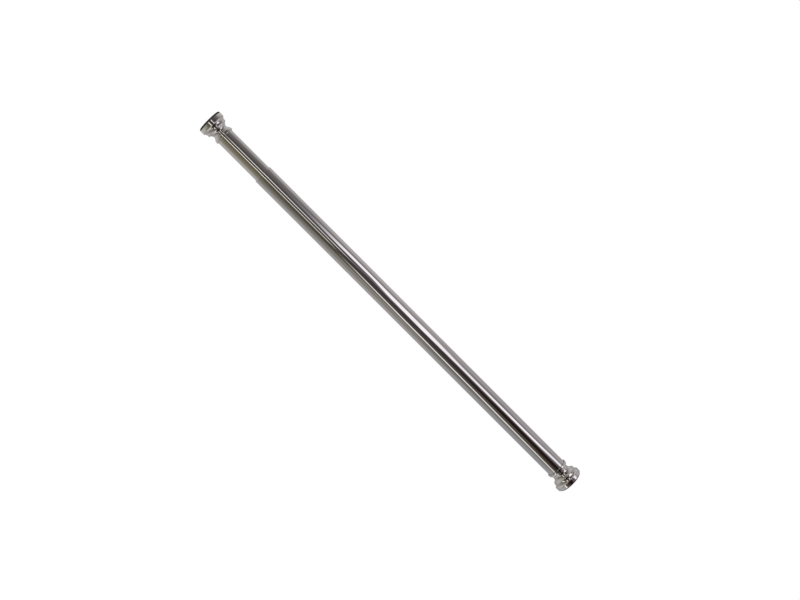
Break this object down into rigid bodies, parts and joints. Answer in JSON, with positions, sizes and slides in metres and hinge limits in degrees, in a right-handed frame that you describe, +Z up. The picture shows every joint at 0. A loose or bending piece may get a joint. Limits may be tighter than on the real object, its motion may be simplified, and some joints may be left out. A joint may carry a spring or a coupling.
{
  "type": "pull up bar",
  "caption": "Chromed telescopic doorway pull-up bar: twisting the thick tube drives a screw that pushes the thin tube out until both rubber-faced flanges grip the frame.",
  "frame": {"origin": "middle of the bar's box at the stored length, on the tubes' common axis", "axes": "+X along the bar from the sliding foot to the fixed foot, +Z up"},
  "size_m": [0.713, 0.041, 0.041],
  "materials": {
    "chrome_plate": "bright polished chrome plate",
    "zinc_steel": "bright zinc-plated steel",
    "black_rubber": "matt moulded rubber",
    "white_nylon": "natural nylon"
  },
  "bodies": {
    "fixed_foot": {"fixed_flange": "chrome_plate", "fixed_pad": "black_rubber", "thrust_washer": "white_nylon"},
    "turning_tube": {"outer_tube": "chrome_plate", "outer_end_plug": "zinc_steel", "outer_plug_pin_top": "zinc_steel", "outer_plug_pin_bottom": "zinc_steel", "swivel_screw": "zinc_steel", "swivel_washer": "zinc_steel", "spindle": "zinc_steel", "spindle_pin": "zinc_steel", "spindle_stop_washer": "zinc_steel", "spindle_guide": "white_nylon", "spindle_end_nut": "zinc_steel"},
    "sliding_tube": {"inner_tube": "chrome_plate", "inner_end_plug": "zinc_steel", "inner_plug_pin_top": "zinc_steel", "inner_plug_pin_bottom": "zinc_steel", "spindle_nut": "zinc_steel", "spindle_nut_pin_top": "zinc_steel", "spindle_nut_pin_bottom": "zinc_steel", "sliding_flange": "chrome_plate", "sliding_pad": "black_rubber", "flange_screw": "zinc_steel", "flange_washer": "zinc_steel"}
  },
  "joints": [
    {"name": "tube_twist", "type": "hinge", "parent": "fixed_foot", "child": "turning_tube", "pos_m": [0.33231, 0, 0], "axis": [1, 0, 0], "range_deg": [-5670, 25200]},
    {"name": "extension", "type": "slide", "parent": "fixed_foot", "child": "sliding_tube", "axis": [-1, 0, 0], "range_m": [-0.063, 0.28]}
  ],
  "couplings": [
    {"joint": "extension", "follows": "tube_twist", "m_per_rad": 0.0006366}
  ]
}
